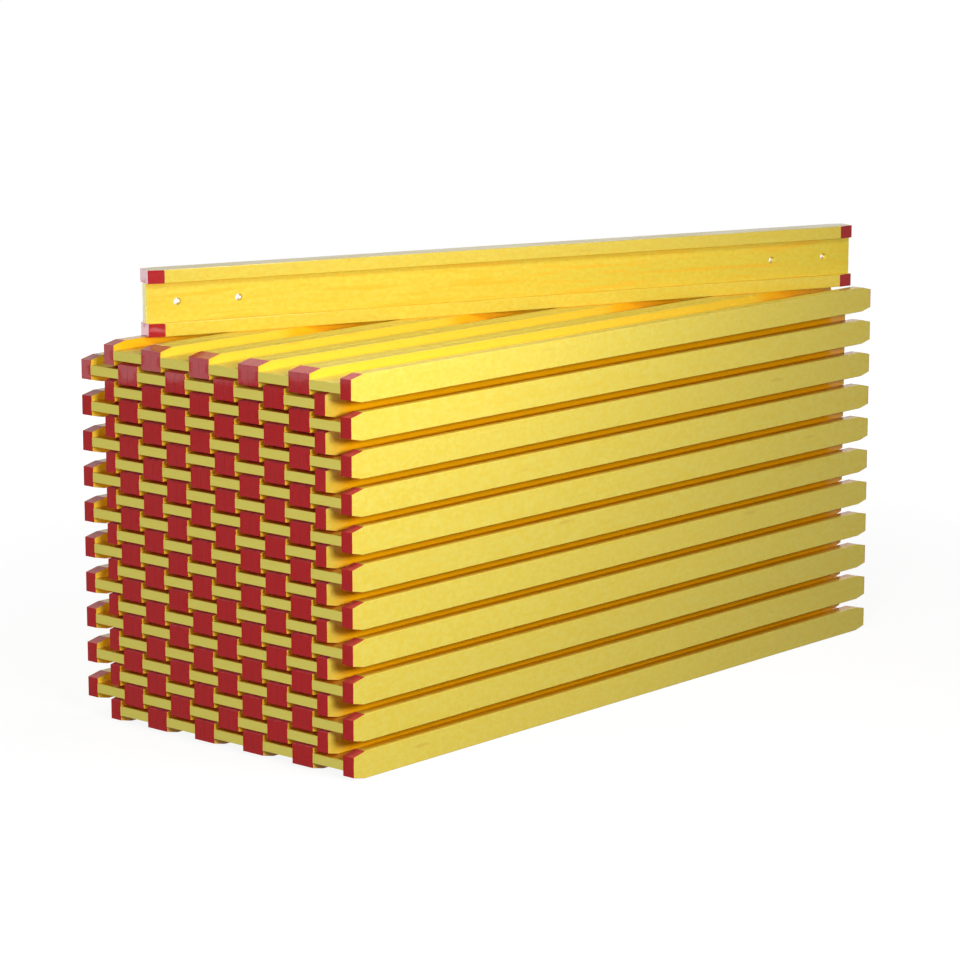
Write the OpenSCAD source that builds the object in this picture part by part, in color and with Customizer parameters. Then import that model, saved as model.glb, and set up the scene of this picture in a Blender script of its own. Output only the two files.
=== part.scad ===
// Nested stack of timber formwork beams, with one more beam standing across the top.
//
// Every beam is a glued I-section of three timber pieces: a web panel with V-shaped
// tongues milled along both edges, and two flanges grooved to take them. The stacked
// beams lie on their sides. Every second layer is moved across by half a beam, so the
// flanges of one layer drop into the hollows of the next and rest on its webs, while
// its webs rest on the flanges below: the stack rises by far less than a flange width
// for each layer. The sawn flange ends are bevelled and sealed with paint.
//
// X runs along the stacked beams, Y across them and Z up. The origin is on the floor,
// under the middle of the stack.

/* [Beam] */
// Length of every beam
beam_len = 2500; // [1800:50:5900]
// Depth of the beam's section, over both flanges
beam_depth = 200; // [165:1:240]

/* [Flanges] */
// Width of a flange, square to the web
flange_w = 80; // [60:1:100]
// Thickness of a flange, in the depth of the section
flange_t = 40; // [32:0.5:48]
// Easing along the long edges
edge_ease = 1.5; // [0.5:0.5:4]

/* [Web] */
// Thickness of the web panel
web_t = 28; // [20:0.5:36]
// Number of tongues across the web's thickness
tongues = 4; // [2:1:6]
// Length of a tongue, which is the depth of its groove
tongue_len = 16; // [8:0.5:24]
// Flat at the tip and at the root of a tongue
tongue_flat = 1.2; // [0.5:0.1:2]

/* [Flange ends] */
// Length of the bevel on each side of a flange's end
bevel_len = 48; // [20:1:80]
// How far the bevel cuts in at the end face
bevel_depth = 10.5; // [4:0.5:20]

/* [Web holes] */
// Diameter of the drilled holes
hole_d = 24; // [12:1:40]
// From the beam's end to the first hole
hole_end = 100; // [60:5:300]
// From the first hole to the second
hole_step = 200; // [60:5:400]

/* [Stack] */
// Number of layers
layers = 21; // [3:2:25]
// Number of beams side by side in a layer
beams = 5; // [3:1:8]
// Gap between two beams of a layer
side_gap = 0.5; // [0.1:0.1:4]

/* [Top beam] */
// From the back of the stack to the middle of the top beam's near end
near_inset = 127; // [60:1:400]
// From the front of the stack to the middle of the top beam's far end
far_inset = 86; // [60:1:400]
// How far the top beam lies past the stack's middle, towards the far end
top_slide = 60; // [-200:1:200]

/* [Hidden] */
$fn = 48;
// Length and reach that a cutter needs beyond what it cuts
over = 20;

flange_colour = "gold";
web_colour = "khaki";
paint_colour = "firebrick";

inner_face = beam_depth / 2 - flange_t;
tongue_pitch = web_t / tongues;

beam_pitch = beam_depth + side_gap;
nest_shift = beam_pitch / 2;
layer_pitch = (flange_w + web_t) / 2;
stack_w = beam_pitch * (beams - 1) + beam_depth + nest_shift;
stack_h = layer_pitch * (layers - 1) + flange_w;
top_yaw = -asin((stack_w - near_inset - far_inset) / beam_len);

// Layers are numbered from 01 at the bottom
function layer_name(piece, k) = str(piece, "_layer_", k < 9 ? "0" : "", k + 1);

function reversed(points) = [for (i = [len(points) - 1 : -1 : 0]) points[i]];

// The zigzag of the finger joint as [depth, width] points, rising across the web's
// thickness. The web's edge and the flange's groove are both cut to it.
function finger_line() = [
    for (i = [0 : tongues - 1])
        let (low = i * tongue_pitch - web_t / 2, mid = low + tongue_pitch / 2)
            each [
                [inner_face, low + tongue_flat / 2],
                [inner_face + tongue_len, mid - tongue_flat / 2],
                [inner_face + tongue_len, mid + tongue_flat / 2],
                [inner_face, low + tongue_pitch - tongue_flat / 2]
            ]
];

// Sections are drawn with the beam on its side: depth along Y, flange width along Z

module flange_section() {
    outer = beam_depth / 2;
    half = flange_w / 2;
    polygon(concat(
        [
            [inner_face, edge_ease - half], [inner_face + edge_ease, -half],
            [outer - edge_ease, -half], [outer, edge_ease - half],
            [outer, half - edge_ease], [outer - edge_ease, half],
            [inner_face + edge_ease, half], [inner_face, half - edge_ease]
        ],
        reversed(finger_line())
    ));
}

module web_section() {
    edge = concat(
        [[inner_face, -web_t / 2]],
        finger_line(),
        [[inner_face, web_t / 2]]
    );
    polygon(concat(edge, [for (p = reversed(edge)) [-p[0], p[1]]]));
}

// Stock of the given section, longer than the beam at both ends
module stock() {
    rotate([90, 0, 90])
        linear_extrude(beam_len + 2 * over, center = true)
            children();
}

// The children at the far end and, mirrored, at the near end
module at_both_ends() {
    for (turn = [0, 1])
        mirror([turn, 0, 0])
            translate([beam_len / 2, 0, 0])
                children();
}

// Saw cut across a flange, with the bevel on its two long sides
module bevelled_cut() {
    half = flange_w / 2;
    rotate([90, 0, 0])
        linear_extrude(beam_depth + over, center = true)
            polygon([
                [0, bevel_depth - half], [-bevel_len, -half],
                [-bevel_len, -half - over], [2 * over, -half - over],
                [2 * over, half + over], [-bevel_len, half + over],
                [-bevel_len, half], [0, half - bevel_depth]
            ]);
}

// Square saw cut across the web
module square_cut() {
    translate([over, 0, 0])
        cube([2 * over, beam_depth + over, web_t + over], center = true);
}

// Flange on the +Y side of the beam. The faces that the end cuts leave are painted.
module flange() {
    difference() {
        color(flange_colour) stock() flange_section();
        color(paint_colour) at_both_ends() bevelled_cut();
    }
}

// Web panel with its tongues and its four holes
module web() {
    difference() {
        color(web_colour) stock() web_section();
        color(web_colour) at_both_ends() square_cut();
        color(web_colour)
            at_both_ends()
                for (step = [0, 1])
                    translate([-hole_end - step * hole_step, 0, 0])
                        cylinder(d = hole_d, h = web_t + over, center = true);
    }
}

// The children once for every beam of layer k, numbered from the bottom. Odd layers
// are moved across into the hollows of the even ones.
module in_layer(k) {
    first = (beam_depth - stack_w) / 2 + (k % 2) * nest_shift;
    translate([0, first, flange_w / 2 + k * layer_pitch])
        for (i = [0 : beams - 1])
            translate([0, i * beam_pitch, 0])
                children();
}

module flange_layer(k) {
    in_layer(k)
        for (side = [0, 1])
            mirror([0, side, 0])
                flange();
}

module web_layer(k) {
    in_layer(k) web();
}

// The children stood upright on the stack, where the top beam is
module on_top() {
    across = (near_inset - far_inset) / 2;
    translate([top_slide, -across, stack_h + beam_depth / 2])
        rotate([90, 0, top_yaw])
            children();
}

module top_beam_upper_flange() {
    on_top() flange();
}

module top_beam_lower_flange() {
    on_top() mirror([0, 1, 0]) flange();
}

module top_beam_web() {
    on_top() web();
}

for (k = [0 : layers - 1]) {
    flange_layer(k);
    web_layer(k);
}
top_beam_upper_flange();
top_beam_lower_flange();
top_beam_web();
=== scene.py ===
"""Looks of a nested stack of timber formwork beams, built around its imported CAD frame.

The frame gives every place and size. Flanges and web panels are laid out row by row with
Geometry Nodes. Each carries its own grain, its painted ends and its own part of a texture map.
"""

import logging
import math
from collections.abc import Iterable
from dataclasses import dataclass
from enum import Enum
from functools import partial, reduce

import bmesh
import bpy
from mathutils import Matrix, Vector


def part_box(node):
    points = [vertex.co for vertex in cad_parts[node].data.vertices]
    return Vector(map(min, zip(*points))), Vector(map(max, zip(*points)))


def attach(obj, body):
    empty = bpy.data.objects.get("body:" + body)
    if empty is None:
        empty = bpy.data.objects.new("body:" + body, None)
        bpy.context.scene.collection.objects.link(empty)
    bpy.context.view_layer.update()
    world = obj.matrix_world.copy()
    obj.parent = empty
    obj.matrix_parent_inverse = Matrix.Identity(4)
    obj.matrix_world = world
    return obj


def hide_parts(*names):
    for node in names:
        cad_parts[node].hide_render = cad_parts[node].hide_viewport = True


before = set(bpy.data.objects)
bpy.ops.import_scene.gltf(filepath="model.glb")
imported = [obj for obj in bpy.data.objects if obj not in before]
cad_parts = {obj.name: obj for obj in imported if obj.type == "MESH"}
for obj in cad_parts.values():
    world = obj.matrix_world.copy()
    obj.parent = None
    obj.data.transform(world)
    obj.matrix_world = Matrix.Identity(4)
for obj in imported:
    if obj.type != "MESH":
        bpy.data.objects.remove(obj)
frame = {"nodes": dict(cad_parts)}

log = logging.getLogger("formwork_stack")

Colour = tuple[float, float, float]
Point = tuple[float, float, float]
Span = tuple[float, float]
Spot = tuple[float, float]
Node = bpy.types.Node
Socket = bpy.types.NodeSocket

ROOT_BODY = "root"
PLACE = "timber_place"
SHIFT = "timber_shift"
TONE = "timber_tone"
PAINTED = "painted"
BAKE_MAP = "OFBake"
TIMBER_RANGE = (7.0, 7.0, 7.0)
MEAN_TONE = 0.5
BEVEL_LEN = 0.048
BEVEL_DEPTH = 0.0105
SKIN = 0.0004
CORNER_DIGITS = 7
SHOWING_RAYS = ("Is Camera Ray", "Is Glossy Ray", "Is Transmission Ray")
COOL = (0.84, 0.92, 1.0)
WHITE = (1.0, 1.0, 1.0)


# ----- Sizes -----


@dataclass(frozen=True)
class StackSizes:
    """Sizes of the stack and of its beams, in metres."""

    beam_len: float
    beam_depth: float
    flange_w: float
    flange_t: float
    web_t: float
    tongue_len: float
    nest_shift: float
    layer_pitch: float
    first_y: float
    first_z: float
    layers: int
    beams: int
    top_yaw: float
    top_centre: Point

    @classmethod
    def from_frame(cls, nodes: dict[str, bpy.types.Object]) -> "StackSizes":
        """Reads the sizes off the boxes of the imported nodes.

        Args:
            nodes: The CAD nodes by name.

        Returns:
            The sizes of the stack.
        """
        low_a, high_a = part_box("flanges_layer_01")
        low_b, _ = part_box("flanges_layer_02")
        web_low, web_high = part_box("webs_layer_01")
        upper_low, upper_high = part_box("top_beam_upper_flange")
        lower_low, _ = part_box("top_beam_lower_flange")
        top_low, top_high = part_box("top_beam_web")
        beam_len = high_a.x - low_a.x
        beam_depth = upper_high.z - lower_low.z
        flange_t = upper_high.z - upper_low.z
        web_t = web_high.z - web_low.z
        nest_shift = low_b.y - low_a.y
        spare = high_a.y - low_a.y - beam_depth
        web_depth = web_high.y - web_low.y - spare
        along, across = top_high.x - top_low.x, top_high.y - top_low.y
        return cls(
            beam_len=beam_len,
            beam_depth=beam_depth,
            flange_w=high_a.z - low_a.z,
            flange_t=flange_t,
            web_t=web_t,
            tongue_len=(web_depth - beam_depth) / 2 + flange_t,
            nest_shift=nest_shift,
            layer_pitch=low_b.z - low_a.z,
            first_y=low_a.y + beam_depth / 2,
            first_z=(low_a.z + high_a.z) / 2,
            layers=sum(name.startswith("flanges_layer_") for name in nodes),
            beams=round(spare / (2 * nest_shift)) + 1,
            top_yaw=-math.atan2(
                beam_len * across - web_t * along, beam_len * along - web_t * across
            ),
            top_centre=tuple((top_low + top_high) / 2),
        )

    @property
    def inner_face(self) -> float:
        """From the beam's axis to the inner face of a flange."""
        return self.beam_depth / 2 - self.flange_t

    @property
    def shoulder(self) -> float:
        """From a flange's middle to where its end bevels start."""
        return self.flange_w / 2 - BEVEL_DEPTH

    @property
    def last_skin(self) -> float:
        """From a beam's middle to just inside its end face."""
        return self.beam_len / 2 - SKIN

    @property
    def half_across(self) -> float:
        """Half the stack's size across the beams."""
        return self.beam_depth / 2 - self.first_y

    @property
    def top_layer_underside(self) -> float:
        """Height of the top layer's underside."""
        return self.first_z + (self.layers - 1) * self.layer_pitch - self.flange_w / 2

    def row_start(self, layer: int) -> Point:
        """Middle of the first beam of a layer, counted from 0 at the bottom."""
        across = self.first_y + (layer % 2) * self.nest_shift
        return 0.0, across, self.first_z + layer * self.layer_pitch

    def top_place(self) -> Matrix:
        """Turns and moves a beam that lies on its side at the origin onto the stack."""
        turned = Matrix.Rotation(self.top_yaw, 4, "Z") @ Matrix.Rotation(math.pi / 2, 4, "X")
        return Matrix.Translation(self.top_centre) @ turned


def in_scene(name: str, data: bpy.types.ID, aim: Vector | None = None) -> bpy.types.Object:
    """Puts an object in the scene.

    Args:
        name: Its name.
        data: Its mesh, lamp or camera.
        aim: Which way a lamp or camera looks.

    Returns:
        The object.
    """
    thing = bpy.data.objects.new(name, data)
    bpy.context.scene.collection.objects.link(thing)
    if aim is not None:
        thing.rotation_mode = "QUATERNION"
        thing.rotation_quaternion = aim.to_track_quat("-Z", "Y")
    return thing


# ----- Nodes -----


class NodeBoard:
    """A node tree, with the calls that add its nodes and feed them."""

    def __init__(self, tree: bpy.types.NodeTree) -> None:
        """Takes a tree and empties it."""
        self.tree = tree
        tree.nodes.clear()

    @staticmethod
    def shown(sockets: Iterable[Socket]) -> list[Socket]:
        """Those sockets of a node that its properties leave in use."""
        return [socket for socket in sockets if socket.enabled]

    def feed(self, socket: Socket, value: object) -> None:
        """Links an input to an output, or sets its value.

        Args:
            socket: The input.
            value: An output, a value, or a colour without its alpha.
        """
        if isinstance(value, Socket):
            self.tree.links.new(value, socket)
        else:
            socket.default_value = (*value, 1.0) if socket.type == "RGBA" else value

    def feed_named(self, node: Node, **values: object) -> Node:
        """Feeds a node's inputs by their names.

        Args:
            node: The node.
            **values: What each input is fed, with _ for a space in its name.

        Returns:
            The node.
        """
        inputs = {socket.name: socket for socket in self.shown(node.inputs)}
        for name, value in values.items():
            self.feed(inputs[name.replace("_", " ")], value)
        return node

    def add(self, kind: str, *values: object, **settings: object) -> Node:
        """Adds a node.

        Args:
            kind: Its type.
            *values: What its inputs are fed, in order.
            **settings: Its properties.

        Returns:
            The node.
        """
        node = self.tree.nodes.new(kind)
        for key, value in settings.items():
            setattr(node, key, value)
        for socket, value in zip(self.shown(node.inputs), values):
            self.feed(socket, value)
        return node


class ShaderBoard(NodeBoard):
    """A shader's tree, with short calls for the nodes that the finishes use."""

    def __init__(self, owner: bpy.types.Material | bpy.types.World) -> None:
        """Starts a tree.

        Args:
            owner: The material or world that it belongs to.
        """
        owner.use_nodes = True
        super().__init__(owner.node_tree)
        self.owner = owner

    def maths(self, operation: str, *values: object) -> Socket:
        """A Math node of the given operation."""
        return self.add("ShaderNodeMath", *values, operation=operation).outputs[0]

    def vector(self, operation: str, *values: object) -> Socket:
        """A Vector Math node of the given operation."""
        node = self.add("ShaderNodeVectorMath", *values, operation=operation)
        return self.shown(node.outputs)[0]

    def parts(self, vector: Socket) -> tuple[Socket, ...]:
        """The X, Y and Z of a vector."""
        return tuple(self.add("ShaderNodeSeparateXYZ", vector).outputs)

    def object_place(self) -> Socket:
        """The shaded point in metres, in the frame's own axes."""
        return self.add("ShaderNodeTexCoord").outputs["Object"]

    def ramp(
        self, value: object, low: float, high: object, start: float = 0.0, end: float = 1.0
    ) -> Socket:
        """Maps low..high to start..end, smoothly and held at both ends."""
        numbers = (value, low, high, start, end)
        return self.add("ShaderNodeMapRange", *numbers, interpolation_type="SMOOTHSTEP").outputs[0]

    def between(self, share: object, first: object, second: object) -> Socket:
        """The value a given share of the way from first to second."""
        return self.add("ShaderNodeMapRange", share, 0.0, 1.0, first, second).outputs[0]

    def beyond(self, value: Socket, limit: float) -> Socket:
        """1 where a value is further from 0 than the limit, and 0 elsewhere."""
        return self.maths("GREATER_THAN", self.maths("ABSOLUTE", value), limit)

    def product(self, *values: object) -> Socket:
        """Multiplies two or more values."""
        return reduce(partial(self.maths, "MULTIPLY"), values)

    def summed(self, base: object, *terms: tuple[Socket, float]) -> Socket:
        """Adds to a base some values, each times its weight."""
        return reduce(lambda total, term: self.maths("MULTIPLY_ADD", *term, total), terms, base)

    def blend(self, share: object, first: object, second: object) -> Socket:
        """The colour a given share of the way from first to second."""
        node = self.add("ShaderNodeMix", share, first, second, data_type="RGBA")
        return self.shown(node.outputs)[0]

    def bump(self, height: Socket, distance: float) -> Socket:
        """A bumped normal, whose heights are up to distance metres."""
        node = self.add("ShaderNodeBump")
        return self.feed_named(node, Strength=1.0, Distance=distance, Height=height).outputs[0]

    def surface(self, **values: object) -> bpy.types.Material:
        """Ends the tree in one Principled shader.

        Args:
            **values: What the shader's inputs are fed, by name.

        Returns:
            The material.
        """
        shader = self.feed_named(self.add("ShaderNodeBsdfPrincipled"), **values)
        self.add("ShaderNodeOutputMaterial", shader.outputs[0])
        return self.owner


@dataclass(frozen=True)
class Figure:
    """A figure in a surface: noise whose grain is 1 / scale metres long on each axis."""

    scale: Point
    detail: float = 2.0
    fade: Span = (0.0, 1.0)
    roughness: float = 0.5


class BeamBoard(ShaderBoard):
    """The tree of a beam's finish, which knows where the shaded point is.

    Attributes:
        sizes: Sizes of the stack.
        x, depth, width: Where the point is on its own beam.
        wood: Where it is in its own timber.
        tone: From 0 to 1, the same all over a piece of timber.
        at: Where it is in the frame.
        from_side: How far in it lies from the nearer long side of the stack.
    """

    def __init__(self, name: str, sizes: StackSizes) -> None:
        """Starts a material and reads the coordinates that the layout stores.

        Args:
            name: Name of the material.
            sizes: Sizes of the stack.
        """
        super().__init__(bpy.data.materials.new(name))
        self.sizes = sizes
        place, shift, self.tone = (
            self.add("ShaderNodeAttribute", attribute_name=stored).outputs[output]
            for stored, output in ((PLACE, "Vector"), (SHIFT, "Vector"), (TONE, "Fac"))
        )
        self.x, self.depth, self.width = self.parts(place)
        self.wood = self.vector("ADD", place, shift)
        self.at = self.object_place()
        _, across, _ = self.parts(self.at)
        self.from_side = self.maths(
            "SUBTRACT", sizes.half_across, self.maths("ABSOLUTE", across)
        )

    def noise(self, figure: Figure) -> Socket:
        """The noise of a figure in this timber, from 0 to 1."""
        place = self.vector("MULTIPLY", self.wood, figure.scale)
        return self.add(
            "ShaderNodeTexNoise", place, 1.0, figure.detail, figure.roughness
        ).outputs[0]

    def figured(self, figure: Figure, start: float = 0.0, end: float = 1.0) -> Socket:
        """A figure in this timber that fades from start to end."""
        return self.ramp(self.noise(figure), *figure.fade, start, end)


class BeamPart(Enum):
    """The two kinds of piece that a beam is glued up from."""

    FLANGE = "flange"
    WEB = "web panel"


# ----- Finishes -----


@dataclass(frozen=True)
class ShadeMask:
    """Where painted shade goes: inside the stack below its top layer, and on the top layer under
    the top beam.
    """

    from_side: Span
    open_reach: float
    end_reach: float
    deep_in: Span = (0.11, 0.16)
    far_reach: float = 0.008
    below_top: Span = (0.0, 0.012)
    beside_beam: Span = (0.08, 0.045)
    behind_back: Span = (0.1, 0.104)
    beam_shade: float = 0.8

    def inside(self, board: BeamBoard) -> Socket:
        """How far a point is inside the stack, below its top layer.

        Args:
            board: Tree of the finish.

        Returns:
            From 0 on the stack's outside to 1 inside it.
        """
        x, _, z = board.parts(board.at)
        half = board.sizes.beam_len / 2
        below_top = board.maths("SUBTRACT", board.sizes.top_layer_underside, z)
        reach = board.ramp(board.from_side, *self.deep_in, self.open_reach, self.end_reach)
        return board.product(
            board.ramp(board.from_side, *self.from_side),
            board.ramp(board.maths("ADD", half, x), 0.0, reach),
            board.ramp(board.maths("SUBTRACT", half, x), 0.0, self.far_reach),
            board.ramp(below_top, *self.below_top),
        )

    def under_beam(self, board: BeamBoard) -> Socket:
        """How much painted shadow the top beam casts on the top layer.

        Args:
            board: Tree of the finish.

        Returns:
            Highest under the beam, and 0 a hand's breadth beside it.
        """
        sizes = board.sizes
        x, y, z = board.parts(board.vector("SUBTRACT", board.at, sizes.top_centre))
        slant = (x, -math.sin(sizes.top_yaw)), (y, math.cos(sizes.top_yaw))
        return board.product(
            board.ramp(board.maths("ABSOLUTE", board.summed(0.0, *slant)), *self.beside_beam),
            board.maths("LESS_THAN", z, SKIN - sizes.beam_depth / 2),
            board.ramp(board.from_side, *self.behind_back),
            self.beam_shade,
        )

    def share(self, board: BeamBoard) -> Socket:
        """From 0 in the open to 1 where the stack or the top beam gets full painted shade."""
        return board.maths("MAXIMUM", self.inside(board), self.under_beam(board))


@dataclass(frozen=True)
class PaintFinish:
    """Red sealing paint on the sawn ends."""

    name: str
    colour: Colour = (0.525, 0.0054, 0.0078)
    worn: Colour = (0.42, 0.0045, 0.0072)
    # Painted reflection on the bevels in the open, and a lighter one on the bevels in the stack's
    # gaps.
    bevel_painted_light: Colour = (0.65, 0.09, 0.062)
    gap_painted_reflection: Colour = (0.72, 0.1, 0.11)
    gap_mask: ShadeMask = ShadeMask((0.04, 0.05), 0.001, 0.001)
    streaks: Figure = Figure((9.0, 210.0, 13.0), 3.0, (0.5, 0.72))
    streak_share: float = 0.35
    blotches: Figure = Figure((60.0, 60.0, 60.0), 2.0, (0.42, 0.75))
    blotch_share: float = 0.4
    patches: Figure = Figure((85.0, 85.0, 85.0), 3.0, (0.35, 0.7))
    gloss: float = 0.03
    dull: float = 0.07
    sheen_level: float = 0.15
    rings: Figure = Figure((40.0, 260.0, 90.0), 3.0)
    ring_height: float = 0.00001
    ragged: Figure = Figure((150.0, 150.0, 150.0))
    lap: float = 0.0012
    lap_spread: float = 0.0014

    def tint(self, board: BeamBoard) -> Socket:
        """Paint colour: streaked and worn in blotches, with painted light on the bevels: a painted
        reflection, lighter in the stack's gaps.

        Args:
            board: Tree of the finish.

        Returns:
            The colour.
        """
        wear = board.summed(
            0.0,
            (board.figured(self.streaks), self.streak_share),
            (board.figured(self.blotches), self.blotch_share),
        )
        bevel = board.beyond(board.width, board.sizes.shoulder)
        # Painted light on the bevels: a painted reflection, lighter where the gap mask is high.
        bevel_light = board.blend(self.gap_mask.inside(board), self.bevel_painted_light, self.gap_painted_reflection)
        return board.blend(wear, board.blend(bevel, self.colour, bevel_light), self.worn)

    def over_the_edge(self, board: BeamBoard) -> Socket:
        """Where the paint laps round a flange's sawn edges onto its sides.

        Args:
            board: Tree of the finish.

        Returns:
            1 there, and 0 elsewhere.
        """
        sizes = board.sizes
        past = board.maths("SUBTRACT", board.maths("ABSOLUTE", board.width), sizes.shoulder)
        reach = board.summed(
            board.maths("ABSOLUTE", board.x),
            (board.maths("MAXIMUM", past, 0.0), BEVEL_LEN / BEVEL_DEPTH),
            (board.noise(self.ragged), self.lap_spread),
        )
        return board.maths("GREATER_THAN", reach, sizes.beam_len / 2 - self.lap)

    def on_tongues(self, board: BeamBoard) -> Socket:
        """1 on the sawn ends of a web's tongues, which are painted with the flanges."""
        sawn = board.beyond(board.x, board.sizes.last_skin)
        return board.product(sawn, board.beyond(board.depth, board.sizes.inner_face))

    def material(self, sizes: StackSizes) -> bpy.types.Material:
        """Builds the paint of the flange ends, patchy where the end grain drinks it.

        Args:
            sizes: Sizes of the stack.

        Returns:
            The material.
        """
        board = BeamBoard(self.name, sizes)
        return board.surface(
            Base_Color=self.tint(board),
            Roughness=board.figured(self.patches, self.gloss, self.dull),
            Specular_IOR_Level=self.sheen_level,
            Normal=board.bump(board.noise(self.rings), self.ring_height),
        )


@dataclass(frozen=True)
class TimberFinish:
    """Spruce under a yellow glaze, with its grain along the beam."""

    name: str
    part: BeamPart
    pale: Colour = (0.86, 0.7, 0.11)
    warm: Colour = (0.852, 0.655, 0.074)
    late_wood: Colour = (0.84, 0.545, 0.03)
    # Painted shade: a deeper yellow for the flanges' inner faces, for light bounced between them.
    inner: Colour = (0.9, 0.61, 0.048)
    # Painted shade: deep orange for the recesses, standing in for shade and light bounced between
    # yellow faces.
    deep: Colour = (0.97, 0.475, 0.003)
    run: Colour = (0.86, 0.47, 0.02)
    end_grain: Colour = (0.83, 0.715, 0.135)
    end_ply: Colour = (0.82, 0.645, 0.093)
    knot: Colour = (0.6, 0.32, 0.03)
    flecks: Figure = Figure((45.0, 75.0, 75.0), 3.0, (0.36, 0.64))
    bands: Figure = Figure((1.3, 46.0, 46.0), 4.0, (0.46, 0.74), 0.6)
    fibres: Figure = Figure((6.0, 420.0, 420.0), 2.0, (0.4, 0.75))
    fibre_share: float = 0.25
    streak_share: float = 0.16
    knot_scale: Point = (2.2, 14.0, 14.0)
    knot_rim: Span = (0.12, 0.03)
    knot_share: float = 0.3
    runs: Figure = Figure((3.5, 55.0, 55.0), 2.0, (0.52, 0.66))
    run_share: float = 0.0
    specks: Figure = Figure((95.0, 95.0, 95.0), 2.0, (0.3, 0.7))
    mottle_share: float = 0.045
    tone_spread: float = 0.04
    plies: Figure = Figure((1.0, 22.0, 330.0), 3.0, (0.4, 0.7))
    ply_share: float = 0.6
    marks: Figure = Figure((1.0, 140.0, 260.0), 2.0, (0.7, 0.78))
    mark_share: float = 0.5
    shade_mask: ShadeMask = ShadeMask((0.0, 0.03), 0.11, 0.03)
    polish: Figure = Figure((3.0, 20.0, 20.0), 2.0, (0.3, 0.7))
    smooth: float = 0.23
    rough: float = 0.29
    sawn: float = 0.9
    shade_roughness: float = 0.12
    sheen_level: float = 0.22
    nap: Figure = Figure((9.0, 520.0, 520.0))
    nap_height: float = 0.000012

    def colour(self, board: BeamBoard, shade: Socket) -> Socket:
        """Glaze colour with grain, flecks, runs, a few knots, each timber's own tone and painted
        shade.

        Args:
            board: Tree of the finish.
            shade: From 0 in the open to 1 in full painted shade.

        Returns:
            The colour.
        """
        grain = board.between(
            self.fibre_share, board.figured(self.bands), board.figured(self.fibres)
        )
        wood = board.blend(board.figured(self.flecks), self.pale, self.warm)
        # Painted shade on the flange faces that look in towards the web.
        if self.part is BeamPart.FLANGE:
            depth = board.maths("ABSOLUTE", board.depth)
            inside = board.maths("LESS_THAN", depth, board.sizes.inner_face + SKIN)
            wood = board.blend(inside, wood, self.inner)
        streak = board.maths("MULTIPLY", grain, self.streak_share)
        wood = board.blend(streak, wood, self.late_wood)
        place = board.vector("MULTIPLY", board.wood, self.knot_scale)
        knots = board.add("ShaderNodeTexVoronoi", place, 1.0, feature="F1")
        spot = board.ramp(knots.outputs["Distance"], *self.knot_rim, 0.0, self.knot_share)
        wood = board.blend(spot, wood, self.knot)
        if self.run_share:
            wood = board.blend(board.figured(self.runs, 0.0, self.run_share), wood, self.run)
        level = board.summed(
            1.0 - MEAN_TONE * self.tone_spread,
            (board.tone, self.tone_spread),
            (board.figured(self.specks, -0.5, 0.5), self.mottle_share),
        )
        # Painted shade: the glaze turns deep orange where the shade mask is high.
        return board.vector("SCALE", board.blend(shade, wood, self.deep), level)

    def sawn_colour(self, board: BeamBoard) -> Socket:
        """End grain of a web panel, with its plies and a few dark marks.

        Args:
            board: Tree of the finish.

        Returns:
            The colour.
        """
        plies = board.figured(self.plies, 0.0, self.ply_share)
        marks = board.figured(self.marks, 0.0, self.mark_share)
        return board.blend(marks, board.blend(plies, self.end_grain, self.end_ply), self.knot)

    def material(self, sizes: StackSizes, paint: PaintFinish) -> bpy.types.Material:
        """Builds the finish.

        Args:
            sizes: Sizes of the stack, which place the grain.
            paint: Paint that laps over a flange's edges, or covers the web's tongues.

        Returns:
            The material.
        """
        board = BeamBoard(self.name, sizes)
        shade = self.shade_mask.share(board)
        colour = self.colour(board, shade)
        polish = board.figured(self.polish, self.smooth, self.rough)
        roughness = board.between(shade, polish, self.shade_roughness)
        if self.part is BeamPart.FLANGE:
            painted = paint.over_the_edge(board)
        else:
            sawn = board.beyond(board.x, sizes.last_skin)
            colour = board.blend(sawn, colour, self.sawn_colour(board))
            dry = board.maths("MULTIPLY", sawn, self.sawn)
            roughness = board.maths("MAXIMUM", roughness, dry)
            painted = paint.on_tongues(board)
        return board.surface(
            Base_Color=board.blend(painted, colour, paint.tint(board)),
            Roughness=roughness,
            Specular_IOR_Level=self.sheen_level,
            Normal=board.bump(board.noise(self.nap), self.nap_height),
        )


# ----- Shapes -----


@dataclass(frozen=True)
class Patch:
    """A rectangle of a piece's texture map."""

    left: float
    low: float
    right: float
    high: float

    def at(self, along: float, up: float) -> Spot:
        """The spot at these shares of the rectangle's width and height."""
        across = self.left + (self.right - self.left) * along
        return across, self.low + (self.high - self.low) * up


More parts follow.
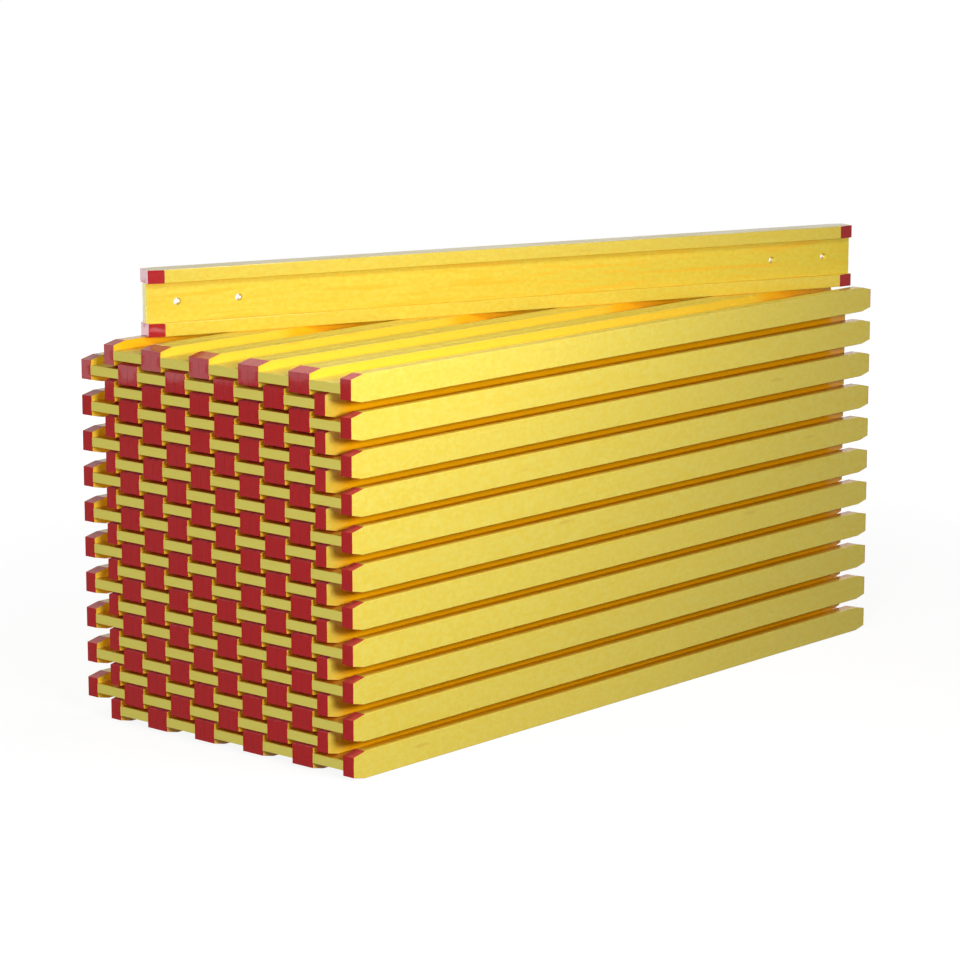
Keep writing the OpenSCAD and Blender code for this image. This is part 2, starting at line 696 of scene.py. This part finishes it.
class PatternMesh:
    """Collects the faces of one flange or web, which share the corners they meet at."""

    def __init__(self) -> None:
        """Starts with no faces."""
        self.corners: dict[Point, int] = {}
        self.faces: list[tuple[int, ...]] = []
        self.spots: list[Spot] = []
        self.smooth: list[bool] = []
        self.painted: list[bool] = []

    def face(
        self, points: list[Point], spots: list[Spot], smooth: bool = False, painted: bool = False
    ) -> None:
        """Adds a face.

        Args:
            points: Its corners in order.
            spots: Where each corner lies on the texture map.
            smooth: Whether it is part of a rounding.
            painted: Whether it wears the sealing paint.
        """
        keys = [tuple(round(c, CORNER_DIGITS) for c in point) for point in points]
        self.faces.append(tuple(self.corners.setdefault(k, len(self.corners)) for k in keys))
        self.spots += spots
        self.smooth.append(smooth)
        self.painted.append(painted)

    def mesh(self, name: str) -> bpy.types.Mesh:
        """Builds the mesh, with its own coordinates, its map and its painted faces marked.

        Args:
            name: Name of the mesh.

        Returns:
            The closed mesh, with its faces turned outwards.
        """
        mesh = bpy.data.meshes.new(name)
        mesh.from_pydata(list(self.corners), [], self.faces)
        mesh.polygons.foreach_set("use_smooth", self.smooth)
        layer = mesh.uv_layers.new(name=BAKE_MAP)
        layer.uv.foreach_set("vector", [c for spot in self.spots for c in spot])
        place = mesh.attributes.new(PLACE, "FLOAT_VECTOR", "POINT")
        place.data.foreach_set("vector", [c for point in self.corners for c in point])
        painted = mesh.attributes.new(PAINTED, "BOOLEAN", "FACE")
        painted.data.foreach_set("value", self.painted)
        shape = bmesh.new()
        shape.from_mesh(mesh)
        bmesh.ops.recalc_face_normals(shape, faces=shape.faces)
        shape.to_mesh(mesh)
        shape.free()
        return mesh


@dataclass(frozen=True)
class FingerJoint:
    """The zigzag in which a web's edge and a flange's groove meet."""

    sizes: StackSizes
    tongues: int = 4
    flat: float = 0.0012

    def line(self) -> list[Spot]:
        """Draws the joint.

        Returns:
            Its corners as depth and width, from -width to +width.
        """
        inner, deep = self.sizes.inner_face, self.sizes.inner_face + self.sizes.tongue_len
        pitch, flat = self.sizes.web_t / self.tongues, self.flat / 2
        line = []
        for i in range(self.tongues):
            low = i * pitch - self.sizes.web_t / 2
            middle = low + pitch / 2
            line += [(inner, low + flat), (deep, middle - flat)]
            line += [(deep, middle + flat), (inner, low + pitch - flat)]
        return line

    def web_edge(self) -> list[Spot]:
        """The joint with the web's two corners before and after it."""
        inner, half = self.sizes.inner_face, self.sizes.web_t / 2
        return [(inner, -half), *self.line(), (inner, half)]


@dataclass(frozen=True)
class FlangeShape:
    """One flange on the +Y side of a beam that lies on its side, in metres."""

    sizes: StackSizes
    joint: FingerJoint
    arris: float = 0.0016
    arris_steps: int = 2
    strips: Patch = Patch(0.0, 0.02, 0.875, 0.98)
    ends: tuple[Patch, Patch] = (Patch(0.885, 0.04, 0.938, 0.96), Patch(0.945, 0.04, 0.998, 0.96))
    groove_share: float = 0.45

    def corner(self, depth: float, width: float, first_deg: float) -> list[Spot]:
        """Rounds an arris.

        Args:
            depth: Depth of the rounding's centre.
            width: Its width.
            first_deg: Where its quarter turn starts.

        Returns:
            Points along it.
        """
        steps = range(self.arris_steps + 1)
        turn = [math.radians(first_deg + 90 * i / self.arris_steps) for i in steps]
        r = self.arris
        return [(depth + r * math.cos(a), width + r * math.sin(a)) for a in turn]

    def section(self) -> list[Spot]:
        """Draws the section.

        Returns:
            Its closed outline as depth and width, anticlockwise seen from +X.
        """
        shoulder, inner = self.sizes.shoulder, self.sizes.inner_face
        outer = self.sizes.beam_depth / 2
        near, far = inner + self.arris, outer - self.arris
        edge = self.sizes.flange_w / 2 - self.arris
        return [
            *self.corner(near, -edge, 180.0),
            *self.corner(far, -edge, 270.0),
            (outer, -shoulder),
            (outer, shoulder),
            *self.corner(far, edge, 0.0),
            *self.corner(near, edge, 90.0),
            (inner, shoulder),
            *reversed(self.joint.line()),
            (inner, -shoulder),
        ]

    def on_end(self, side: int, spot: Spot) -> Point:
        """The point of the section's corner at the end on that side, bevels cut."""
        cut = max(0.0, abs(spot[1]) - self.sizes.shoulder) / BEVEL_DEPTH
        return side * (self.sizes.beam_len / 2 - BEVEL_LEN * cut), *spot

    def climb(self, ring: list[Spot]) -> list[float]:
        """Places the section's corners up the texture map, with the groove drawn in.

        Args:
            ring: The section.

        Returns:
            How far round it each corner lies, from 0 to 1.
        """
        inner, half = self.sizes.inner_face, self.sizes.web_t / 2
        total = [0.0]
        for a, b in zip(ring, ring[1:] + ring[:1]):
            grooved = max(abs(a[1]), abs(b[1])) < half and max(a[0], b[0]) > inner
            step = math.dist(a, b) * (self.groove_share if grooved else 1.0)
            total.append(total[-1] + step)
        return [t / total[-1] for t in total]

    def end_spot(self, patch: Patch, depth: float, width: float) -> Spot:
        """Unfolds a sawn end and its bevels onto the texture map.

        Args:
            patch: Where the end goes.
            depth: Depth of the point.
            width: Its width.

        Returns:
            Its spot.
        """
        shoulder, slope = self.sizes.shoulder, math.hypot(BEVEL_LEN, BEVEL_DEPTH)
        past = max(0.0, abs(width) - shoulder) * slope / BEVEL_DEPTH
        up = math.copysign(min(abs(width), shoulder) + past, width) / (shoulder + slope)
        return patch.at((depth - self.sizes.inner_face) / self.sizes.flange_t, (1 + up) / 2)

    def mesh(self) -> bpy.types.Mesh:
        """Builds the flange.

        Returns:
            The mesh of one flange.
        """
        ring = self.section()
        climb = self.climb(ring)
        pattern = PatternMesh()
        for i, (a, b) in enumerate(zip(ring, ring[1:] + ring[:1])):
            points = [self.on_end(*run) for run in ((-1, a), (-1, b), (1, b), (1, a))]
            ups = (climb[i], climb[i + 1], climb[i + 1], climb[i])
            spots = [
                self.strips.at(point[0] / self.sizes.beam_len + 0.5, up)
                for point, up in zip(points, ups)
            ]
            pattern.face(points, spots, smooth=math.dist(a, b) < self.arris)
        shoulder = self.sizes.shoulder
        lower = [ring[-1], *(spot for spot in ring[:-1] if spot[1] <= -shoulder)]
        middle = [spot for spot in ring if abs(spot[1]) <= shoulder]
        upper = [spot for spot in ring if spot[1] >= shoulder]
        for side, patch in zip((-1, 1), self.ends):
            for cap in (lower, middle, upper):
                points = [self.on_end(side, spot) for spot in cap]
                pattern.face(points, [self.end_spot(patch, *spot) for spot in cap], painted=True)
        return pattern.mesh("flange")


@dataclass(frozen=True)
class WebShape:
    """The web panel of a beam that lies on its side, with tongues and drilled holes."""

    sizes: StackSizes
    joint: FingerJoint
    hole_sides: int
    hole_r: float = 0.012
    hole_end: float = 0.1
    hole_step: float = 0.2
    rim_start_deg: float = -135.0
    cell: float = 0.03
    boards: tuple[Patch, Patch] = (Patch(0.0, 0.02, 1.0, 0.31), Patch(0.0, 0.33, 1.0, 0.62))
    ends: tuple[Patch, Patch] = (Patch(0.004, 0.65, 0.2, 0.76), Patch(0.21, 0.65, 0.406, 0.76))
    walls: Patch = Patch(0.42, 0.65, 0.996, 0.76)
    wall_share: float = 0.96
    edges: Patch = Patch(0.0, 0.785, 1.0, 0.985)

    def holes(self) -> list[float]:
        """Where the holes are along the beam."""
        last = self.sizes.beam_len / 2 - self.hole_end
        return [-last, self.hole_step - last, last - self.hole_step, last]

    def cuts(self) -> list[float]:
        """Where the broad faces are divided along the beam."""
        half = self.sizes.beam_len / 2
        return [-half, *(x + side * self.cell for x in self.holes() for side in (-1, 1)), half]

    def along(self, x: float) -> float:
        """How far along the beam x is, from 0 to 1."""
        return x / self.sizes.beam_len + 0.5

    def rim(self, x: float, width: float) -> list[Point]:
        """Draws the edge of a hole.

        Args:
            x: Where the hole is along the beam.
            width: Where its edge is across the web.

        Returns:
            Points round it, the first of them also last.
        """
        steps, r = range(self.hole_sides + 1), self.hole_r
        turn = [math.radians(self.rim_start_deg + 360 * i / self.hole_sides) for i in steps]
        return [(x + r * math.cos(a), r * math.sin(a), width) for a in turn]

    def mesh(self) -> bpy.types.Mesh:
        """Builds the web panel.

        Returns:
            The mesh of one web panel.
        """
        pattern = PatternMesh()
        for side, patch in zip((-1, 1), self.boards):
            self.add_board(pattern, side * self.sizes.web_t / 2, patch)
        for side in (-1, 1):
            self.add_edge(pattern, side)
        for side, patch in zip((-1, 1), self.ends):
            self.add_end(pattern, side * self.sizes.beam_len / 2, patch)
        for i, x in enumerate(self.holes()):
            self.add_wall(pattern, x, i)
        return pattern.mesh("web")

    def add_board(self, pattern: PatternMesh, width: float, patch: Patch) -> None:
        """Adds a broad face: plain lengths, and four faces round each hole.

        Args:
            pattern: The mesh to add to.
            width: Where the face is across the web.
            patch: Where it goes on the texture map.
        """
        inner, quarter = self.sizes.inner_face, self.hole_sides // 4
        cuts = self.cuts()
        for i, (low, high) in enumerate(zip(cuts, cuts[1:])):
            corners = ((low, -inner), (high, -inner), (high, inner), (low, inner))
            box = [(*corner, width) for corner in corners]
            loops = [box]
            if i % 2:
                rim = self.rim((low + high) / 2, width)
                arcs = [rim[k * quarter : (k + 1) * quarter + 1] for k in range(4)]
                sides = zip(box, box[1:] + box[:1], arcs)
                loops = [[start, stop, *reversed(arc)] for start, stop, arc in sides]
            for loop in loops:
                spots = [patch.at(self.along(x), (y / inner + 1) / 2) for x, y, _ in loop]
                pattern.face(loop, spots)

    def add_edge(self, pattern: PatternMesh, side: int) -> None:
        """Adds the tongues and shoulders along one edge.

        Args:
            pattern: The mesh to add to.
            side: -1 or 1 for the edge at -Y or +Y.
        """
        line, cuts = self.joint.web_edge(), self.cuts()
        steps = len(line) - 1
        row = steps if side > 0 else 0
        for i, (a, b) in enumerate(zip(line, line[1:])):
            first = cuts if i == 0 else [cuts[0], cuts[-1]]
            last = cuts if i == steps - 1 else [cuts[0], cuts[-1]]
            run = [(x, a, i) for x in first] + [(x, b, i + 1) for x in reversed(last)]
            pattern.face(
                [(x, side * depth, width) for x, (depth, width), _ in run],
                [self.edges.at(self.along(x), (row + k) / (2 * steps)) for x, _, k in run],
            )

    def add_end(self, pattern: PatternMesh, x: float, patch: Patch) -> None:
        """Adds a sawn end, with the ends of the tongues.

        Args:
            pattern: The mesh to add to.
            x: Where the end is.
            patch: Where it goes on the texture map.
        """
        line = self.joint.web_edge()
        outline = line + [(-depth, width) for depth, width in reversed(line)]
        full = 2 * (self.sizes.inner_face + self.sizes.tongue_len)
        pattern.face(
            [(x, *spot) for spot in outline],
            [patch.at(depth / full + 0.5, w / self.sizes.web_t + 0.5) for depth, w in outline],
        )

    def add_wall(self, pattern: PatternMesh, x: float, place: int) -> None:
        """Adds the wall of one hole.

        Args:
            pattern: The mesh to add to.
            x: Where the hole is.
            place: Its number along the beam, from 0.
        """
        half = self.sizes.web_t / 2
        low, high = self.rim(x, -half), self.rim(x, half)
        holes = len(self.holes())
        for i in range(self.hole_sides):
            start, stop = (
                (place + self.wall_share * k / self.hole_sides) / holes for k in (i, i + 1)
            )
            box = ((start, 0.0), (stop, 0.0), (stop, 1.0), (start, 1.0))
            pattern.face(
                [low[i], low[i + 1], high[i + 1], high[i]],
                [self.walls.at(*corner) for corner in box],
                smooth=True,
            )


class BeamLayout(NodeBoard):
    """Geometry Nodes that lay out the flanges or the webs of a row of beams."""

    def __init__(self) -> None:
        """Builds the tree with its named inputs."""
        super().__init__(bpy.data.node_groups.new("beam_layout", "GeometryNodeTree"))
        face = self.tree.interface
        self.keys = {
            name: face.new_socket(name, in_out="INPUT", socket_type="NodeSocket" + kind).identifier
            for name, kind in (
                ("Geometry", "Geometry"),
                ("Beams", "Int"),
                ("First beam", "Vector"),
                ("Beam pitch", "Vector"),
                ("Both sides", "Bool"),
                ("Seed", "Int"),
                ("Timber", "Material"),
                ("Paint", "Material"),
            )
        }
        face.new_socket("Geometry", in_out="OUTPUT", socket_type="NodeSocketGeometry")
        self.wire()

    def wire(self) -> None:
        """Wires the tree: a line of beams, a copy or two on each, own grain, materials."""
        given = self.add("NodeGroupInput").outputs
        spread = (given[name] for name in ("Beams", "First beam", "Beam pitch"))
        line = self.add("GeometryNodeMeshLine", *spread, mode="OFFSET")
        both = self.add("GeometryNodeJoinGeometry")
        for turn, chosen in ((0.0, True), (math.pi, given["Both sides"])):
            copies = self.feed_named(
                self.add("GeometryNodeInstanceOnPoints"),
                Points=line.outputs[0],
                Selection=chosen,
                Instance=given["Geometry"],
                Rotation=(0.0, 0.0, turn),
            )
            self.feed(both.inputs[0], copies.outputs[0])
        laid = both.outputs[0]
        for name, kind, high in ((SHIFT, "FLOAT_VECTOR", TIMBER_RANGE), (TONE, "FLOAT", 1.0)):
            chance = self.add("FunctionNodeRandomValue", data_type=kind)
            self.feed_named(chance, Max=high, Seed=given["Seed"])
            store = self.add(
                "GeometryNodeStoreNamedAttribute", data_type=kind, domain="INSTANCE"
            )
            value = self.shown(chance.outputs)[0]
            laid = self.feed_named(store, Geometry=laid, Name=name, Value=value).outputs[0]
        laid = self.add("GeometryNodeRealizeInstances", laid).outputs[0]
        marked = self.add("GeometryNodeInputNamedAttribute", PAINTED, data_type="BOOLEAN")
        painted = self.shown(marked.outputs)[0]
        for chosen, coat in ((True, given["Timber"]), (painted, given["Paint"])):
            laid = self.add("GeometryNodeSetMaterial", laid, chosen, coat).outputs[0]
        self.add("NodeGroupOutput", laid)

    def laid_out(self, name: str, pattern: bpy.types.Mesh, **inputs: object) -> bpy.types.Object:
        """Runs the tree on a pattern and returns the row as a plain mesh.

        Args:
            name: Name of the piece.
            pattern: Mesh of one flange or web.
            **inputs: Values of the tree's named inputs, with _ for a space.

        Returns:
            The piece, in the scene.
        """
        carrier = in_scene(name + "_layout", pattern)
        modifier = carrier.modifiers.new("layout", "NODES")
        modifier.node_group = self.tree
        for key, value in inputs.items():
            modifier[self.keys[key.replace("_", " ")]] = value
        graph = bpy.context.evaluated_depsgraph_get()
        mesh = bpy.data.meshes.new_from_object(carrier.evaluated_get(graph), depsgraph=graph)
        carrier.modifiers.remove(modifier)
        bpy.data.objects.remove(carrier)
        self.share_map(mesh, len(pattern.loops))
        mesh.name = name
        return in_scene(name, mesh)

    @staticmethod
    def share_map(mesh: bpy.types.Mesh, pattern_loops: int) -> None:
        """Gives each copy of the pattern a row of its own on the texture map.

        Args:
            mesh: The copies.
            pattern_loops: How many face corners one copy has.
        """
        layer = mesh.uv_layers[BAKE_MAP]
        spots = [0.0] * (2 * len(mesh.loops))
        layer.uv.foreach_get("vector", spots)
        copies = len(mesh.loops) // pattern_loops
        for i in range(len(mesh.loops)):
            spots[2 * i + 1] = (spots[2 * i + 1] + i // pattern_loops) / copies
        layer.uv.foreach_set("vector", spots)


# ----- Sub-assemblies -----


@dataclass(frozen=True)
class BeamKit:
    """What the flanges and webs of some beams are made from."""

    flange: bpy.types.Mesh
    web: bpy.types.Mesh
    flange_timber: bpy.types.Material
    web_timber: bpy.types.Material
    paint: bpy.types.Material


@dataclass
class BeamRow:
    """A row of beams that lie on their sides."""

    sizes: StackSizes
    kit: BeamKit
    layout: BeamLayout
    beams: int
    first: Point
    seed: int

    def lay(self, name: str, part: BeamPart) -> bpy.types.Object:
        """Lays out the flanges or the webs of the row.

        Args:
            name: Name of the piece.
            part: Which of the two.

        Returns:
            The piece, in the scene.
        """
        flanges = part is BeamPart.FLANGE
        piece = self.layout.laid_out(
            name,
            self.kit.flange if flanges else self.kit.web,
            Beams=self.beams,
            First_beam=self.first,
            Beam_pitch=(0.0, 2 * self.sizes.nest_shift, 0.0),
            Both_sides=flanges,
            Seed=self.seed,
            Timber=self.kit.flange_timber if flanges else self.kit.web_timber,
            Paint=self.kit.paint,
        )
        log.info("%s: %d faces", piece.name, len(piece.data.polygons))
        return piece


@dataclass
class StackedLayers:
    """The nested layers of beams."""

    sizes: StackSizes
    kit: BeamKit
    layout: BeamLayout
    first_seed: int = 20

    def build(self) -> None:
        """Builds the flanges and webs of every layer, from the lowest up."""
        for layer in range(self.sizes.layers):
            start, seed = self.sizes.row_start(layer), self.first_seed + layer
            row = BeamRow(self.sizes, self.kit, self.layout, self.sizes.beams, start, seed)
            number = f"{layer + 1:02d}"
            for part, name in ((BeamPart.FLANGE, "flanges"), (BeamPart.WEB, "webs")):
                piece = row.lay(f"layer_{number}_{name}", part)
                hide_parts(f"{name}_layer_{number}")
                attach(piece, ROOT_BODY)


@dataclass
class TopBeam:
    """The beam that stands upright across the stack."""

    sizes: StackSizes
    kit: BeamKit
    layout: BeamLayout
    seed: int = 90

    def build(self) -> None:
        """Builds both flanges and the web."""
        row = BeamRow(self.sizes, self.kit, self.layout, 1, (0.0, 0.0, 0.0), self.seed)
        for part, name, replaced in (
            (BeamPart.FLANGE, "flanges", ("top_beam_upper_flange", "top_beam_lower_flange")),
            (BeamPart.WEB, "panel", ("top_beam_web",)),
        ):
            piece = row.lay(f"top_beam_{name}", part)
            piece.data.transform(self.sizes.top_place())
            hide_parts(*replaced)
            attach(piece, ROOT_BODY)


# ----- Studio -----


@dataclass(frozen=True)
class Lamp:
    """One studio lamp: a soft ball, or a softbox where it has a size across and up."""

    name: str
    place: Point
    aim: Point
    watts: float
    across: float = 0.0
    up: float = 0.0
    colour: Colour = WHITE
    ball: float = 0.4

    def build(self) -> None:
        """Puts the lamp in the scene."""
        light = bpy.data.lights.new(self.name, "AREA" if self.across else "POINT")
        light.energy = self.watts
        light.color = self.colour
        if self.across:
            light.shape = "RECTANGLE"
            light.size, light.size_y = self.across, self.up
        else:
            light.shadow_soft_size = self.ball
        lamp = in_scene(self.name, light, Vector(self.aim) - Vector(self.place))
        lamp.location = self.place
        lamp.visible_camera = False
        log.info("%s: %.0f W", self.name, self.watts)


@dataclass(frozen=True)
class Studio:
    """Floor, background, lamps and camera."""

    lamps: tuple[Lamp, ...] = (
        Lamp("key_ball", (-0.96, -1.58, 2.53), (0.0, -0.5, 0.6), 98.0, ball=0.35),
        Lamp("front_softbox", (-3.4, -6.05, 2.5), (-3.4, 0.0, 2.5), 336.0, 2.5, 0.9),
        Lamp("end_softbox", (-5.1, 3.36, 0.96), (-1.25, 0.0, 0.96), 66.0, 4.0, 1.4, COOL),
        Lamp("corner_fill", (-6.0, -1.8, 1.25), (-1.25, -0.1, 0.6), 62.0, 1.8, 2.3),
        Lamp("back_softbox", (-1.5, 3.9, 1.17), (-1.1, 0.4, 1.17), 39.0, 1.6, 1.5, COOL),
        Lamp("top_softbox", (0.9, 0.4, 4.0), (0.9, 0.4, 1.2), 10.0, 2.0, 1.1),
        Lamp("rear_fill", (1.5, 7.0, 1.0), (0.6, 0.5, 0.8), 240.0, 3.0, 1.2),
        Lamp("far_fill", (6.5, 0.0, 1.0), (1.25, 0.0, 0.8), 138.0, 2.0, 1.2),
    )
    camera_place: Point = (-7.96706, -6.91541, 2.64268)
    azimuth_deg: float = -48.757
    elevation_deg: float = 10.863
    lens_mm: float = 127.19
    sensor_mm: float = 36.0
    view_reach: float = 400.0
    ambient: float = 0.015
    floor_half: float = 150.0
    floor_colour: Colour = (0.15, 0.15, 0.15)
    floor_glow: Span = (0.9, 1.0)
    glow_reach: Span = (2.0, 6.0)

    def build(self) -> None:
        """Builds the whole studio."""
        for lamp in self.lamps:
            lamp.build()
        self.build_camera()
        self.build_world()
        self.build_floor()
        bpy.context.scene.view_settings.view_transform = "Standard"

    def build_camera(self) -> None:
        """Sets up the camera."""
        data = bpy.data.cameras.new("camera")
        data.lens, data.sensor_width, data.clip_end = self.lens_mm, self.sensor_mm, self.view_reach
        turn, rise = math.radians(self.azimuth_deg), math.radians(self.elevation_deg)
        level = math.cos(rise)
        away = Vector((math.sin(turn) * level, -math.cos(turn) * level, math.sin(rise)))
        camera = in_scene("camera", data, -away)
        camera.location = self.camera_place
        bpy.context.scene.camera = camera

    @staticmethod
    def seen(board: ShaderBoard) -> Socket:
        """1 for the rays that show the background, and 0 for the rest."""
        rays = board.add("ShaderNodeLightPath").outputs
        return reduce(partial(board.maths, "MAXIMUM"), (rays[name] for name in SHOWING_RAYS))

    def build_world(self) -> None:
        """White where it is seen, and a low even light elsewhere."""
        board = ShaderBoard(bpy.data.worlds.new("studio_air"))
        level = board.between(self.seen(board), self.ambient, 1.0)
        air = board.add("ShaderNodeBackground", WHITE, level)
        board.add("ShaderNodeOutputWorld", air.outputs[0])
        bpy.context.scene.world = board.owner

    def build_floor(self) -> None:
        """Pale floor, lit evenly where it is seen, that keeps the shadow."""
        half = self.floor_half
        mesh = bpy.data.meshes.new("floor")
        corners = [(-half, -half, 0.0), (half, -half, 0.0), (half, half, 0.0), (-half, half, 0.0)]
        mesh.from_pydata(corners, [], [(0, 1, 2, 3)])
        board = ShaderBoard(bpy.data.materials.new("pale_floor"))
        away = board.vector("LENGTH", board.object_place())
        level = board.ramp(away, *self.glow_reach, *self.floor_glow)
        strength = board.maths("MULTIPLY", self.seen(board), level)
        matt = board.add("ShaderNodeBsdfDiffuse", self.floor_colour)
        glow = board.add("ShaderNodeEmission", WHITE, strength)
        both = board.add("ShaderNodeAddShader", matt.outputs[0], glow.outputs[0])
        board.add("ShaderNodeOutputMaterial", both.outputs[0])
        mesh.materials.append(board.owner)
        in_scene("floor", mesh)


def main(packed: dict[str, object]) -> None:
    """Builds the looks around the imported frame.
    """
    logging.basicConfig(level=logging.INFO, format="%(message)s")
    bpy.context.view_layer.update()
    sizes = StackSizes.from_frame(packed["nodes"])
    log.info("%s", sizes)
    joint = FingerJoint(sizes)
    flange = FlangeShape(sizes, joint).mesh()
    stack_timbers = (
        TimberFinish("stack_flange_glaze", BeamPart.FLANGE),
        TimberFinish(
            "stack_web_glaze",
            BeamPart.WEB,
            # Painted shade: a darker red-brown for the slits above the web ends.
            deep=(0.62, 0.22, 0.003),
            shade_mask=ShadeMask((0.0, 0.09), 0.008, 0.008),
            smooth=0.38,
            rough=0.5,
            sheen_level=0.32,
        ),
    )
    # The top beam's glaze is painted darker than the stack's, as painted shade against the nearer
    # key lamp.
    top_timbers = (
        TimberFinish(
            "top_flange_glaze",
            BeamPart.FLANGE,
            pale=(0.735, 0.586, 0.0703),
            warm=(0.735, 0.543, 0.05),
            tone_spread=-0.1,
            smooth=0.15,
            rough=0.27,
            sheen_level=0.5,
        ),
        TimberFinish(
            "top_web_glaze",
            BeamPart.WEB,
            pale=(0.73, 0.59, 0.066),
            warm=(0.73, 0.545, 0.045),
            streak_share=0.5,
            run_share=0.55,
            smooth=0.3,
            rough=0.42,
            sawn=0.5,
            sheen_level=0.32,
        ),
    )
    stack_paint = PaintFinish("stack_sealing_paint")
    # The top beam's bevels are painted darker, as painted shade.
    top_paint = PaintFinish("top_sealing_paint", bevel_painted_light=(0.41, 0.022, 0.024))
    stack_kit, top_kit = (
        BeamKit(
            flange,
            WebShape(sizes, joint, hole_sides).mesh(),
            *(finish.material(sizes, paint) for finish in timbers),
            paint.material(sizes),
        )
        for hole_sides, timbers, paint in (
            (16, stack_timbers, stack_paint),
            (32, top_timbers, top_paint),
        )
    )
    layout = BeamLayout()
    StackedLayers(sizes, stack_kit, layout).build()
    TopBeam(sizes, top_kit, layout).build()
    Studio().build()


if __name__ == "__main__":
    main(frame)
